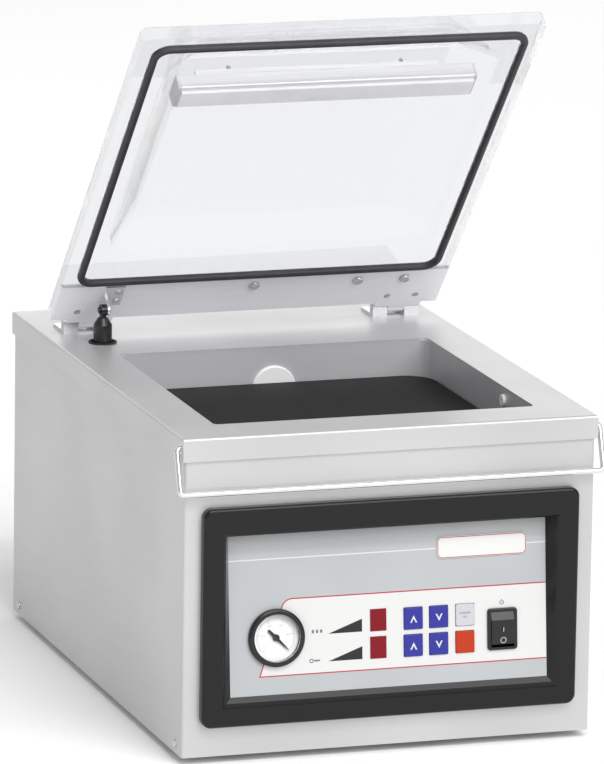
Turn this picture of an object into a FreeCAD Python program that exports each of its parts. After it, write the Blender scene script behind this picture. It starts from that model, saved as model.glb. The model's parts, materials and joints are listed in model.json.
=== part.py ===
"""Tabletop vacuum chamber sealer: cabinet, chamber, clear domed lid, control panel and pump set.

Millimetres. +X is to the right, +Y to the back, +Z up. The origin is on the surface that the
machine stands on, under the middle of the cabinet. The lid is modelled closed and then turned
open about its hinge axis, which is how the machine rests.
"""
import FreeCAD, Part
import math
import os

V = FreeCAD.Vector
X_AXIS = V(1, 0, 0)
Y_AXIS = V(0, 1, 0)
Z_AXIS = V(0, 0, 1)

# ---------------------------------------------------------------- driving dimensions
WIDTH = 330.0               # over the deck's skirt
DEPTH = 470.0
BODY_HEIGHT = 247.5         # from the base plate's underside to the top of the deck
FOOT_HEIGHT = 6.0
SHEET = 1.5                 # steel sheet of the cabinet and the chamber
SKIRT = 18.0                # how far the deck's edge is turned down
BODY_INSET = 2.0            # cabinet walls stand this far inside the skirt's outer face

OPENING_W = 256.0           # chamber opening in the deck
OPENING_FRONT = -193.0
OPENING_REAR = 59.0
CHAMBER_DEPTH = 88.5
CHAMBER_CORNER = 9.0

LID_W = 323.0
LID_LENGTH = 365.5
LID_FLANGE = 12.0
LID_OPEN_DEG = 47.3
LID_GAP = 4.0               # closed lid's underside above the deck
HINGE_Y = 146.0
HINGE_ABOVE_DECK = 8.0
HINGE_TO_LID = 10.0         # from the hinge axis forward to the lid's rear edge
HINGE_X = 129.5
HINGE_W = 38.6

DOME_DEPTH = 28.0
DOME_WALL = 7.0
DOME_FRONT = 340.0          # measured forward from the lid's rear edge
DOME_REAR = 72.0
DOME_W = 266.0
DOME_TAPER = 24.0           # each wall leans in this far over the dome's depth
DOME_CORNER = 22.0          # at the opening
DOME_TOP_CORNER = 12.0

GASKET_W = 5.8
GASKET_SIDE = 148.7         # centre line, from the middle of the lid
GASKET_FRONT = 352.0        # centre line, forward from the lid's rear edge
GASKET_REAR = 49.7
GASKET_CORNER = 11.5
GASKET_GROOVE = 1.6

SPRING_X = -127.7
SPRING_Y = 104.5
SPRING_R = 7.4
SPRING_PIVOT_FORWARD = HINGE_Y - SPRING_Y
SPRING_PIVOT_RISE = SPRING_PIVOT_FORWARD * math.tan(math.radians(LID_OPEN_DEG / 2))

BAIL_WIRE_R = 2.1
BAIL_X = 168.2
BAIL_PIVOT_Y = -228.0
BAIL_PIVOT_BELOW_DECK = 8.5
BAIL_DROP = 33.5
BAIL_REACH = 11.5

BEZEL_W = 299.0
BEZEL_H = 170.0
BEZEL_MID_Z = 114.5
BEZEL_PROUD = 8.0
BEZEL_MOUTH_X = 132.5       # the funnel's edge in the bezel's face
BEZEL_MOUTH_Z = (45.0, 178.0)
CUT_OUT_X = 135.0           # the hole in the cabinet behind the bezel
CUT_OUT_Z = (44.5, 184.5)

PANEL_LEAN = 5.5            # degrees that the top of the fascia leans back
PANEL_Y = -232.0            # the fascia's face at the height of the bezel's middle
FASCIA_SEEN_X = 126.6       # the part of the fascia inside the funnel
FASCIA_SEEN_Z = (52.0, 174.7)
FASCIA_HIDDEN = 3.0         # how much wider the plate is on every side

SEAL_BAR_TRAVEL = 15.0
KEY_TRAVEL = 0.6
RUNNING = 0.06              # radial clearance of a pin that turns in its hole

# ---------------------------------------------------------------- worked-out dimensions
DECK_Z = FOOT_HEIGHT + BODY_HEIGHT
SKIRT_X = WIDTH / 2
SKIRT_Y = DEPTH / 2
BODY_X = SKIRT_X - BODY_INSET
BODY_Y = SKIRT_Y - BODY_INSET
FLOOR_Z = FOOT_HEIGHT + SHEET
CHAMBER_FLOOR = DECK_Z - CHAMBER_DEPTH
HINGE_Z = DECK_Z + HINGE_ABOVE_DECK
LID_REAR_Y = HINGE_Y - HINGE_TO_LID
LID_UNDER = DECK_Z + LID_GAP
SPRING_PIVOT_CLOSED_Z = HINGE_Z - SPRING_PIVOT_RISE
SPRING_PIVOT_OPEN_Z = HINGE_Z + SPRING_PIVOT_RISE
BAIL_PIVOT_Z = DECK_Z - BAIL_PIVOT_BELOW_DECK


# ---------------------------------------------------------------- shape helpers
def box(xs, ys, zs):
    return Part.makeBox(xs[1] - xs[0], ys[1] - ys[0], zs[1] - zs[0], V(xs[0], ys[0], zs[0]))


def rod(radius, start, end):
    start = V(*start)
    run = V(*end).sub(start)
    return Part.makeCylinder(radius, run.Length, start, run)


def tube(outer, inner, start, end):
    return rod(outer, start, end).cut(rod(inner, start, end))


def along(edge, axis):
    """True for a straight edge that runs along the axis."""
    if not isinstance(edge.Curve, Part.Line):
        return False
    return abs(abs(edge.Curve.Direction.dot(axis)) - 1) < 1e-6


def rounded_box(xs, ys, zs, radius, axis=Z_AXIS):
    """A box whose four edges along the axis are rounded."""
    solid = box(xs, ys, zs)
    return solid.makeFillet(radius, [e for e in solid.Edges if along(e, axis)])


def fillet_where(solid, radius, test):
    return solid.makeFillet(radius, [e for e in solid.Edges if test(e)])


def in_plane(edge, axis, level):
    """True for an edge that lies in the plane at this level across the axis."""
    reach = edge.BoundBox
    low = {"x": reach.XMin, "y": reach.YMin, "z": reach.ZMin}[axis]
    high = {"x": reach.XMax, "y": reach.YMax, "z": reach.ZMax}[axis]
    return abs(low - level) < 0.01 and abs(high - level) < 0.01


def polygon_prism(points, run):
    """A prism on a closed outline of (x, y, z) points."""
    outline = [V(*p) for p in points]
    return Part.Face(Part.makePolygon(outline + outline[:1])).extrude(run)


def rounded_wire(xs, ys, z, radius):
    """A rounded rectangle in a horizontal plane, as one closed wire."""
    plate = rounded_box(xs, ys, (z, z + 1), radius)
    for face in plate.Faces:
        if face.BoundBox.ZLength < 1e-6 and abs(face.BoundBox.ZMin - z) < 1e-6:
            return face.OuterWire


def bent_wire(points, bend, radius):
    """A round wire along straight runs that are joined by tangent arcs."""
    points = [V(*p) for p in points]
    edges = []
    start = points[0]
    for before, corner, after in zip(points, points[1:], points[2:]):
        inward = corner.sub(before).normalize()
        outward = after.sub(corner).normalize()
        turn = inward.getAngle(outward)
        cut = bend * math.tan(turn / 2)
        first = corner.sub(V(inward).multiply(cut))
        last = corner.add(V(outward).multiply(cut))
        middle_way = V(outward).sub(inward).normalize()
        middle = corner.add(middle_way.multiply(bend / math.cos(turn / 2) - bend))
        edges.append(Part.makeLine(start, first))
        edges.append(Part.Arc(first, middle, last).toShape())
        start = last
    edges.append(Part.makeLine(start, points[-1]))
    path = Part.Wire(edges)
    section = Part.Wire([Part.makeCircle(radius, points[0], points[1].sub(points[0]))])
    return path.makePipeShell([section], True, True)


def screw_head(point, axis, radius=3.6, height=1.9, shank=1.6, reach=4.0):
    """A round-head screw: low domed head on the surface, shank into the piece behind."""
    point = V(*point)
    head = Part.makeCylinder(radius, height, point, axis)
    top = point.add(V(axis).multiply(height))
    head = fillet_where(head, height * 0.7, lambda e: (e.CenterOfMass.sub(top)).Length < 0.01)
    stem = Part.makeCylinder(shank, reach, point, V(axis).multiply(-1))
    return head.fuse(stem)


def flush_screw(point, axis, radius=2.8, sink=1.25, shank=1.55, reach=8.0):
    """A countersunk screw whose flat head is level with the surface at the point."""
    inwards = V(axis).multiply(-1)
    head = Part.makeCone(radius, shank, sink, V(*point), inwards)
    return head.fuse(Part.makeCylinder(shank, reach, V(*point), inwards))


def opened(solid):
    """A lid piece, turned from closed to the rest position."""
    turned = solid.copy()
    turned.rotate(V(0, HINGE_Y, HINGE_Z), X_AXIS, -LID_OPEN_DEG)
    return turned


def lid_y(forward):
    """Y of a place given as its distance forward from the closed lid's rear edge."""
    return LID_REAR_Y - forward


PARTS = {}


def keep(name, solids):
    PARTS[name] = solids if isinstance(solids, list) else [solids]


# ---------------------------------------------------------------- cabinet
def make_cabinet():
    outer = box((-BODY_X, BODY_X), (-BODY_Y, BODY_Y - SHEET), (FOOT_HEIGHT, DECK_Z - SHEET))
    outer = fillet_where(outer, 2.0, lambda e: along(e, Z_AXIS) and e.CenterOfMass.y < 0)
    inner = box((-BODY_X + SHEET, BODY_X - SHEET), (-BODY_Y + SHEET, BODY_Y), (0, DECK_Z))
    cut_out = box((-CUT_OUT_X, CUT_OUT_X), (-BODY_Y - 1, -BODY_Y + 3), CUT_OUT_Z)
    wrap = outer.cut(inner).cut(cut_out)
    screw_y = -BODY_Y + 17
    for hole_y in (screw_y, BODY_Y - 17):
        wrap = wrap.cut(rod(2.0, (-WIDTH, hole_y, 13.5), (WIDTH, hole_y, 13.5)))
    keep("cabinet_wrap", wrap)

    inside_x = BODY_X - SHEET - 0.1
    inside_y = BODY_Y - SHEET - 0.1
    plate = box((-inside_x, inside_x), (-inside_y, inside_y), (FOOT_HEIGHT, FLOOR_Z))
    for side in (-1, 1):
        lip = sorted((side * inside_x, side * (inside_x - SHEET)))
        plate = plate.fuse(box(lip, (-inside_y, inside_y), (FOOT_HEIGHT, FLOOR_Z + 14)))
        for hole_y in (screw_y, BODY_Y - 17):
            plate = plate.cut(rod(1.6, (side * 150, hole_y, 13.5), (side * 170, hole_y, 13.5)))
    slots = [box((x, x + 6), (-20, 40), (0, 20)) for x in range(-150, -90, 12)]
    for slot in slots:
        plate = plate.cut(slot)
    keep("base_plate", plate.removeSplitter())

    rear = box((-BODY_X, BODY_X), (BODY_Y - SHEET, BODY_Y), (FOOT_HEIGHT, DECK_Z - SHEET))
    for row in range(6):
        z = 48 + row * 13
        slot = rounded_box((20, 130), (BODY_Y - 5, BODY_Y + 5), (z, z + 5), 2.4, Y_AXIS)
        rear = rear.cut(slot)
    rear = rear.cut(box(INLET_X, (BODY_Y - 5, BODY_Y + 5), INLET_Z))
    for x, z in REAR_SCREWS:
        rear = rear.cut(rod(1.6, (x, BODY_Y - 5, z), (x, BODY_Y + 5, z)))
    keep("rear_panel", rear)

    feet = []
    for x in (-FOOT_X, FOOT_X):
        for y in (-FOOT_Y, FOOT_Y):
            foot = Part.makeCone(13.0, 15.0, FOOT_HEIGHT, V(x, y, 0))
            feet.append(foot.fuse(rod(3.0, (x, y, FOOT_HEIGHT - 1), (x, y, FOOT_HEIGHT))))
    keep("rubber_feet", feet)


FOOT_X = 122.0
FOOT_Y = 190.0
INLET_X = (-110.0, -82.0)
INLET_Z = (40.0, 60.0)
REAR_SCREWS = [(x, z) for x in (-154.0, 0.0, 154.0) for z in (30.0, 225.0)]


def make_deck():
    skin = box((-SKIRT_X, SKIRT_X), (-SKIRT_Y, SKIRT_Y), (DECK_Z - SKIRT, DECK_Z))
    skin = fillet_where(skin, 2.2, lambda e: in_plane(e, "z", DECK_Z))
    skin = skin.cut(box((-SKIRT_X + SHEET, SKIRT_X - SHEET), (-SKIRT_Y + SHEET, SKIRT_Y - SHEET),
                        (0, DECK_Z - SHEET)))
    opening = rounded_box((-OPENING_W / 2, OPENING_W / 2), (OPENING_FRONT, OPENING_REAR),
                          (DECK_Z - 5, DECK_Z + 5), 4.0)
    skin = skin.cut(opening)
    skin = skin.cut(rod(GROMMET_R, (SPRING_X, SPRING_Y, DECK_Z - 5), (SPRING_X, SPRING_Y, DECK_Z + 5)))
    pivot_hole = rod(BAIL_WIRE_R + RUNNING, (-WIDTH, BAIL_PIVOT_Y, BAIL_PIVOT_Z),
                     (WIDTH, BAIL_PIVOT_Y, BAIL_PIVOT_Z))
    skin = skin.cut(pivot_hole)
    for x, y in hinge_screw_places():
        skin = skin.cut(rod(1.6, (x, y, DECK_Z - 5), (x, y, DECK_Z + 5)))
    keep("deck_top", skin)

    ring = tube(GROMMET_R + 1.2, 9.2, (SPRING_X, SPRING_Y, DECK_Z), (SPRING_X, SPRING_Y, DECK_Z + 1.2))
    sleeve = tube(GROMMET_R, 9.2, (SPRING_X, SPRING_Y, DECK_Z - 4), (SPRING_X, SPRING_Y, DECK_Z))
    keep("spring_grommet", ring.fuse(sleeve).removeSplitter())


GROMMET_R = 10.0


# ---------------------------------------------------------------- chamber
def make_chamber():
    half = OPENING_W / 2
    top = DECK_Z - SHEET
    outer = rounded_box((-half - SHEET, half + SHEET), (OPENING_FRONT - SHEET, OPENING_REAR + SHEET),
                        (CHAMBER_FLOOR - SHEET, top), CHAMBER_CORNER + SHEET)
    outer = fillet_where(outer, 6.0, lambda e: in_plane(e, "z", CHAMBER_FLOOR - SHEET))
    inner = rounded_box((-half, half), (OPENING_FRONT, OPENING_REAR), (CHAMBER_FLOOR, top + 1),
                        CHAMBER_CORNER)
    inner = fillet_where(inner, 4.5, lambda e: in_plane(e, "z", CHAMBER_FLOOR))
    flange = box((-half - 14, half + 14), (OPENING_FRONT - 14, OPENING_REAR + 14), (top - SHEET, top))
    tub = outer.fuse(flange).cut(inner)
    tub = tub.cut(rod(8.0, (0, OPENING_REAR - 1, SUCTION_Z), (0, OPENING_REAR + 9, SUCTION_Z)))
    tub = tub.cut(rod(3.0, (half - 1, GAUGE_PORT_Y, GAUGE_PORT_Z), (half + 9, GAUGE_PORT_Y, GAUGE_PORT_Z)))
    for x in LIFT_X:
        tub = tub.cut(rod(5.3, (x, SEAL_Y, CHAMBER_FLOOR - 9), (x, SEAL_Y, CHAMBER_FLOOR + 9)))
    keep("chamber_tub", tub.removeSplitter())

    plates = []
    for level in range(3):
        low = CHAMBER_FLOOR + level * INSERT_THICK
        plate = rounded_box((-half + 1.5, half - 1.5), (INSERT_FRONT, OPENING_REAR - 4.5),
                            (low, low + INSERT_THICK - 0.02), 24.0)
        plate = fillet_where(plate, 1.2, lambda e: in_plane(e, "z", low + INSERT_THICK - 0.02))
        plates.append(fillet_where(plate, 4.0, lambda e: in_plane(e, "z", low)))
    keep("insert_plates", plates)

    disc = rod(18.2, (0, OPENING_REAR, SUCTION_Z), (0, OPENING_REAR - 2.6, SUCTION_Z))
    disc = fillet_where(disc, 1.2, lambda e: in_plane(e, "y", OPENING_REAR - 2.6))
    spigot = rod(7.8, (0, OPENING_REAR, SUCTION_Z), (0, OPENING_REAR + 20, SUCTION_Z))
    cover = disc.fuse(spigot).cut(rod(5.0, (0, OPENING_REAR + 1, SUCTION_Z), (0, OPENING_REAR + 30, SUCTION_Z)))
    keep("suction_port_cover", cover)

    port = rod(4.6, (half, GAUGE_PORT_Y, GAUGE_PORT_Z), (half - 2.4, GAUGE_PORT_Y, GAUGE_PORT_Z))
    port = port.fuse(rod(2.9, (half, GAUGE_PORT_Y, GAUGE_PORT_Z), (half + 16, GAUGE_PORT_Y, GAUGE_PORT_Z)))
    port = port.cut(rod(1.2, (half - 5, GAUGE_PORT_Y, GAUGE_PORT_Z), (half + 20, GAUGE_PORT_Y, GAUGE_PORT_Z)))
    keep("gauge_port", port)


SUCTION_Z = DECK_Z - 34.0
GAUGE_PORT_Y = -124.5
GAUGE_PORT_Z = DECK_Z - 10.5
INSERT_THICK = 20.0
INSERT_FRONT = -132.0
LIFT_X = (-82.0, 82.0)
SEAL_Y = lid_y(290.5)
SEAL_TOP = DECK_Z - 15.0
SEAL_BAR_H = 24.0


def make_seal_bar():
    half = 116.0
    top = SEAL_TOP - 0.3
    bar = box((-half, half), (SEAL_Y - 10, SEAL_Y + 10), (top - SEAL_BAR_H, top))
    bar = fillet_where(bar, 1.0, lambda e: along(e, X_AXIS))
    bar = bar.cut(box((-half, half), (SEAL_Y - 2.0, SEAL_Y + 2.0), (top - 0.8, top + 1)))
    keep("seal_bar", bar)
    wire = box((-half, half), (SEAL_Y - 1.9, SEAL_Y + 1.9), (top - 0.8, top - 0.02))
    keep("heating_wire", wire)
    tape = box((-half + 3, half - 3), (SEAL_Y - 8.5, SEAL_Y + 8.5), (top, SEAL_TOP))
    keep("release_tape", tape)

    rods = []
    cylinders = []
    piston_low = CHAMBER_FLOOR - 34.0
    for x in LIFT_X:
        stem = rod(5.0, (x, SEAL_Y, piston_low), (x, SEAL_Y, top - SEAL_BAR_H))
        rods.append(stem.fuse(rod(12.0, (x, SEAL_Y, piston_low), (x, SEAL_Y, piston_low + 6))))
        low = piston_low - 3.5
        high = CHAMBER_FLOOR - SHEET
        shell = rod(15.0, (x, SEAL_Y, low), (x, SEAL_Y, high))
        shell = shell.cut(rod(12.3, (x, SEAL_Y, low + 3), (x, SEAL_Y, high - 3)))
        shell = shell.cut(rod(5.3, (x, SEAL_Y, high - 4), (x, SEAL_Y, high + 1)))
        cylinders.append(shell)
    keep("lift_rods", rods)
    keep("lift_cylinders", cylinders)


# ---------------------------------------------------------------- lid
def ring_prism(side, front, rear, corner, half_width, zs):
    """A loop of rectangular section round a rounded rectangle, on the closed lid."""
    ys_out = (lid_y(front) - half_width, lid_y(rear) + half_width)
    ys_in = (lid_y(front) + half_width, lid_y(rear) - half_width)
    outer = rounded_box((-side - half_width, side + half_width), ys_out, zs, corner + half_width)
    inner = rounded_box((-side + half_width, side - half_width), ys_in,
                        (zs[0] - 1, zs[1] + 1), corner - half_width)
    return outer.cut(inner)


def tapered_block(half, ys, zs, taper, corners, top_radius):
    """The dome's block: a rounded rectangle that draws in towards the top."""
    low = rounded_wire((-half, half), ys, zs[0], corners[0])
    high = rounded_wire((-half + taper, half - taper), (ys[0] + taper, ys[1] - taper), zs[1],
                        corners[1])
    block = Part.makeLoft([low, high], True, True)
    return fillet_where(block, top_radius, lambda e: in_plane(e, "z", zs[1]))


def make_lid():
    half = LID_W / 2
    front_y = lid_y(LID_LENGTH)
    flange = box((-half, half), (front_y, LID_REAR_Y), (LID_UNDER, LID_UNDER + LID_FLANGE))
    flange = fillet_where(flange, 6.0, lambda e: along(e, Z_AXIS) and e.CenterOfMass.y < 0)
    flange = fillet_where(flange, 1.5, lambda e: in_plane(e, "z", LID_UNDER + LID_FLANGE))
    inner_ys = (lid_y(DOME_FRONT), lid_y(DOME_REAR))
    outer_ys = (inner_ys[0] - DOME_WALL, inner_ys[1] + DOME_WALL)
    inner_half = DOME_W / 2
    ceiling = LID_UNDER + DOME_DEPTH
    roof = ceiling + DOME_WALL
    outer_dome = tapered_block(inner_half + DOME_WALL, outer_ys, (LID_UNDER, roof),
                               DOME_TAPER * (DOME_DEPTH + DOME_WALL) / DOME_DEPTH - 1.0,
                               (DOME_CORNER + DOME_WALL, DOME_TOP_CORNER + 5.0), 14.0)
    inner_dome = tapered_block(inner_half, inner_ys, (LID_UNDER, ceiling), DOME_TAPER,
                               (DOME_CORNER, DOME_TOP_CORNER), 9.0)
    dome = flange.fuse(outer_dome).cut(inner_dome)
    groove = ring_prism(GASKET_SIDE, GASKET_FRONT, GASKET_REAR, GASKET_CORNER, GASKET_W / 2,
                        (LID_UNDER - 1, LID_UNDER + GASKET_GROOVE))
    rebate = box((-half - 1, half + 1), (lid_y(RAIL_LENGTH), LID_REAR_Y + 1),
                 (LID_UNDER - 1, LID_UNDER + RAIL_THICK))
    dome = dome.cut(groove).cut(rebate)
    for x, forward in RAIL_SCREWS + BRACKET_SCREWS + LEAF_SCREWS:
        dome = dome.cut(rod(1.6, (x, lid_y(forward), LID_UNDER), (x, lid_y(forward), LID_UNDER + 9)))
    for x in COUNTER_SCREW_X:
        dome = dome.cut(rod(1.6, (x, COUNTER_RIB_Y, ceiling - 1), (x, COUNTER_RIB_Y, ceiling + 5)))
    keep("lid_dome", opened(dome))

    gasket = ring_prism(GASKET_SIDE, GASKET_FRONT, GASKET_REAR, GASKET_CORNER, GASKET_W / 2 - 0.01,
                        (DECK_Z + 0.6, LID_UNDER + GASKET_GROOVE))
    gasket = fillet_where(gasket, 2.4, lambda e: in_plane(e, "z", DECK_Z + 0.6))
    keep("lid_gasket", opened(gasket))

    rail = box((-half, half), (lid_y(RAIL_LENGTH), LID_REAR_Y), (LID_UNDER, LID_UNDER + RAIL_THICK))
    for x, forward in RAIL_SCREWS + BRACKET_SCREWS:
        rail = rail.cut(rod(1.7, (x, lid_y(forward), LID_UNDER - 1), (x, lid_y(forward), LID_UNDER + 9)))
    for x, forward in LEAF_SCREWS:
        rail = rail.cut(rod(1.6, (x, lid_y(forward), LID_UNDER - 1), (x, lid_y(forward), LID_UNDER + 9)))
    for side in (-1, 1):
        rail = rail.cut(leaf_plate(side * HINGE_X, 0.05))
    keep("hinge_rail", opened(rail))

    down = V(0, 0, -1)
    screws = [screw_head((x, lid_y(f), LID_UNDER), down, 4.6, 2.4, 1.55, 8.5) for x, f in RAIL_SCREWS]
    screws += [screw_head((x, lid_y(f), LID_UNDER - BRACKET_T), down, 3.0, 1.2, 1.55, 10.5)
               for x, f in BRACKET_SCREWS]
    screws += [flush_screw((x, lid_y(f), LID_UNDER), down) for x, f in LEAF_SCREWS]
    keep("lid_screws", [opened(s) for s in screws])


RAIL_LENGTH = 44.0
RAIL_THICK = 4.0
RAIL_SCREWS = [(0.0, 34.6), (87.0, 34.6), (126.4, 34.6)]
BRACKET_T = 2.0
BRACKET_SCREWS = [(SPRING_X + 14.5, 38.0), (SPRING_X + 14.5, 26.0)]
LEAF_SCREWS = [(side * (HINGE_X + offset), 10.0) for side in (-1, 1) for offset in (-12.0, 12.0)]
COUNTER_SCREW_X = (-70.0, 70.0)
COUNTER_BAR_H = 13.0
COUNTER_RIB_Y = SEAL_Y + 7.0    # the rib that holds it to the ceiling is behind its middle
COUNTER_RIB_T = 6.0
COUNTER_WALL = 2.5


def make_counter_bar():
    half = 118.0
    cap = 2.5
    ys = (SEAL_Y - 12.5, SEAL_Y + 12.5)
    ceiling = LID_UNDER + DOME_DEPTH
    zs = (LID_UNDER - 0.5, LID_UNDER - 0.5 + COUNTER_BAR_H)
    bar = box((-half, half), ys, zs)
    bar = fillet_where(bar, 1.2, lambda e: along(e, X_AXIS))
    bar = bar.cut(box((-half, half), (ys[0] + COUNTER_WALL, ys[1] - COUNTER_WALL),
                      (zs[0] + 5, zs[1] - COUNTER_WALL)))
    bar = bar.cut(box((-half, half), (SEAL_Y - 9, SEAL_Y + 9), (zs[0] - 1, zs[0] + 2.5)))
    rib_half = DOME_W / 2 - DOME_TAPER - 11.0
    bar = bar.fuse(box((-rib_half, rib_half),
                       (COUNTER_RIB_Y - COUNTER_RIB_T / 2, COUNTER_RIB_Y + COUNTER_RIB_T / 2),
                       (zs[1] - 1, ceiling)))
    for x in COUNTER_SCREW_X:
        bar = bar.cut(rod(1.7, (x, COUNTER_RIB_Y, zs[1] - 3), (x, COUNTER_RIB_Y, ceiling + 1)))
    keep("counter_bar", opened(bar.removeSplitter()))
    strip = box((-half, half), (SEAL_Y - 8.9, SEAL_Y + 8.9), (zs[0] - 2.7, zs[0] + 2.5))
    strip = fillet_where(strip, 1.0, lambda e: along(e, X_AXIS) and e.CenterOfMass.z < zs[0])
    keep("counter_silicone", opened(strip))
    caps = []
    for side in (-1, 1):
        xs = sorted((side * half, side * (half + cap)))
        plate = rounded_box(xs, ys, zs, 2.0, X_AXIS)
        caps.append(opened(plate))
    keep("counter_end_caps", caps)
    # the screws go in from inside the hollow bar, before the silicone strip closes it
    reach = ceiling + 4.8 - (zs[1] - COUNTER_WALL)
    screws = [screw_head((x, COUNTER_RIB_Y, zs[1] - COUNTER_WALL), V(0, 0, -1), 2.8, 1.6, 1.55, reach)
              for x in COUNTER_SCREW_X]
    PARTS["lid_screws"] += [opened(s) for s in screws]


# ---------------------------------------------------------------- hinges
KNUCKLE_R = 4.5
HINGE_PIN_R = 2.2
LEAF_T = 2.3
BASE_T = 2.5
KNUCKLE_HALF = 7.0


def hinge_screw_places():
    return [(side * (HINGE_X + offset), HINGE_Y + 17) for side in (-1, 1) for offset in (-11.0, 11.0)]


def leaf_plate(mid, play=0.0):
    """The flat of a hinge leaf, let in flush with the rail's underside; or, with play, its pocket."""
    return box((mid - HINGE_W / 2 - play, mid + HINGE_W / 2 + play),
               (LID_REAR_Y - 20 - play, LID_REAR_Y + 4.5), (LID_UNDER, LID_UNDER + LEAF_T + play))


def make_hinges():
    leaves = []
    bases = []
    pins = []
    axis_hole = HINGE_PIN_R + RUNNING
    for side in (-1, 1):
        mid = side * HINGE_X
        xs = (mid - HINGE_W / 2, mid + HINGE_W / 2)
        web = box((mid - KNUCKLE_HALF, mid + KNUCKLE_HALF), (LID_REAR_Y + 0.4, HINGE_Y),
                  (LID_UNDER, HINGE_Z))
        barrel = rod(KNUCKLE_R, (mid - KNUCKLE_HALF, HINGE_Y, HINGE_Z), (mid + KNUCKLE_HALF, HINGE_Y, HINGE_Z))
        leaf = leaf_plate(mid).fuse(web).fuse(barrel)
        leaf = leaf.cut(rod(axis_hole, (mid - 30, HINGE_Y, HINGE_Z), (mid + 30, HINGE_Y, HINGE_Z)))
        for x, forward in LEAF_SCREWS:
            at = V(x, lid_y(forward), LID_UNDER)
            leaf = leaf.cut(Part.makeCone(2.85, 1.6, 1.25, at, Z_AXIS))
            leaf = leaf.cut(Part.makeCylinder(1.6, 9.0, at, Z_AXIS))
        leaves.append(opened(leaf.removeSplitter()))

        base = box(xs, (HINGE_Y - 4.3, HINGE_Y + 26), (DECK_Z, DECK_Z + BASE_T))
        base = base.cut(box((mid - KNUCKLE_HALF - 0.3, mid + KNUCKLE_HALF + 0.3),
                            (HINGE_Y - 9, HINGE_Y + 8), (DECK_Z - 1, DECK_Z + 9)))
        for end in (-1, 1):
            block_x = sorted((mid + end * (KNUCKLE_HALF + 0.3), mid + end * HINGE_W / 2))
            leg = box(block_x, (HINGE_Y - 4.3, HINGE_Y + 4.3), (DECK_Z, HINGE_Z))
            knuckle = rod(4.3, (block_x[0], HINGE_Y, HINGE_Z), (block_x[1], HINGE_Y, HINGE_Z))
            base = base.fuse(leg).fuse(knuckle)
        base = base.cut(rod(axis_hole, (mid - 30, HINGE_Y, HINGE_Z), (mid + 30, HINGE_Y, HINGE_Z)))
        for x, y in hinge_screw_places():
            base = base.cut(rod(1.7, (x, y, DECK_Z - 1), (x, y, DECK_Z + 9)))
        bases.append(base.removeSplitter())
        pins.append(rod(HINGE_PIN_R, (xs[0] - 0.6, HINGE_Y, HINGE_Z), (xs[1] + 0.6, HINGE_Y, HINGE_Z)))
    keep("hinge_leaves", leaves)
    keep("hinge_bases", bases)
    keep("hinge_pins", pins)


# ---------------------------------------------------------------- gas spring
SPRING_EYE_R = 4.6
SPRING_EYE_HALF = 2.3
SPRING_PIN_R = 2.4
SPRING_TUBE = 88.0
SPRING_ROD_R = 3.0
SPRING_LOWER_Z = SPRING_PIVOT_OPEN_Z - 172.0


def make_gas_spring():
    eye_z = SPRING_PIVOT_OPEN_Z
    shoulder = eye_z - 11.5
    low = shoulder - SPRING_TUBE
    body = rod(SPRING_R, (SPRING_X, SPRING_Y, low), (SPRING_X, SPRING_Y, shoulder))
    cap = Part.makeCone(SPRING_R, 4.0, 5.5, V(SPRING_X, SPRING_Y, shoulder))
    neck = rod(2.6, (SPRING_X, SPRING_Y, shoulder), (SPRING_X, SPRING_Y, eye_z))
    eye = rod(SPRING_EYE_R, (SPRING_X - SPRING_EYE_HALF, SPRING_Y, eye_z),
              (SPRING_X + SPRING_EYE_HALF, SPRING_Y, eye_z))
    pin = rod(SPRING_PIN_R, (SPRING_X - SPRING_EYE_HALF - 1.4, SPRING_Y, eye_z),
              (SPRING_X + SPRING_EYE_HALF + 3.6, SPRING_Y, eye_z))
    cylinder = body.fuse(cap).fuse(neck).fuse(eye).fuse(pin).removeSplitter()
    cylinder = fillet_where(cylinder, 1.0, lambda e: in_plane(e, "z", low))
    bore = rod(SPRING_ROD_R + 0.08, (SPRING_X, SPRING_Y, low - 1), (SPRING_X, SPRING_Y, low + 50))
    chamber = rod(5.6, (SPRING_X, SPRING_Y, low + 6), (SPRING_X, SPRING_Y, shoulder - 4))
    keep("gas_spring_cylinder", cylinder.cut(bore).cut(chamber))

    piston_z = low + 8
    stem = rod(SPRING_ROD_R, (SPRING_X, SPRING_Y, SPRING_LOWER_Z), (SPRING_X, SPRING_Y, piston_z + 5))
    piston = rod(5.3, (SPRING_X, SPRING_Y, piston_z), (SPRING_X, SPRING_Y, piston_z + 5))
    lower_eye = rod(5.0, (SPRING_X - 3, SPRING_Y, SPRING_LOWER_Z), (SPRING_X + 3, SPRING_Y, SPRING_LOWER_Z))
    spring_rod = stem.fuse(piston).fuse(lower_eye).removeSplitter()
    spring_rod = spring_rod.cut(rod(2.5, (SPRING_X - 9, SPRING_Y, SPRING_LOWER_Z),
                                    (SPRING_X + 9, SPRING_Y, SPRING_LOWER_Z)))
    keep("gas_spring_rod", spring_rod)

    wall_x = -(BODY_X - SHEET)
    foot = box((wall_x, wall_x + 2), (SPRING_Y - 16, SPRING_Y + 16), (SPRING_LOWER_Z - 22, SPRING_LOWER_Z + 12))
    shelf = box((wall_x, SPRING_X + 6), (SPRING_Y - 7, SPRING_Y + 7), (SPRING_LOWER_Z - 8, SPRING_LOWER_Z - 6))
    cheeks = [box((SPRING_X + a, SPRING_X + a + 2), (SPRING_Y - 7, SPRING_Y + 7),
                  (SPRING_LOWER_Z - 8, SPRING_LOWER_Z + 6)) for a in (-5.4, 3.4)]
    bracket = foot.fuse(shelf)
    for cheek in cheeks:
        bracket = bracket.fuse(cheek)
    pin = rod(2.45, (SPRING_X - 8, SPRING_Y, SPRING_LOWER_Z), (SPRING_X + 8, SPRING_Y, SPRING_LOWER_Z))
    keep("spring_lower_bracket", bracket.fuse(pin).removeSplitter())


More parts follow.
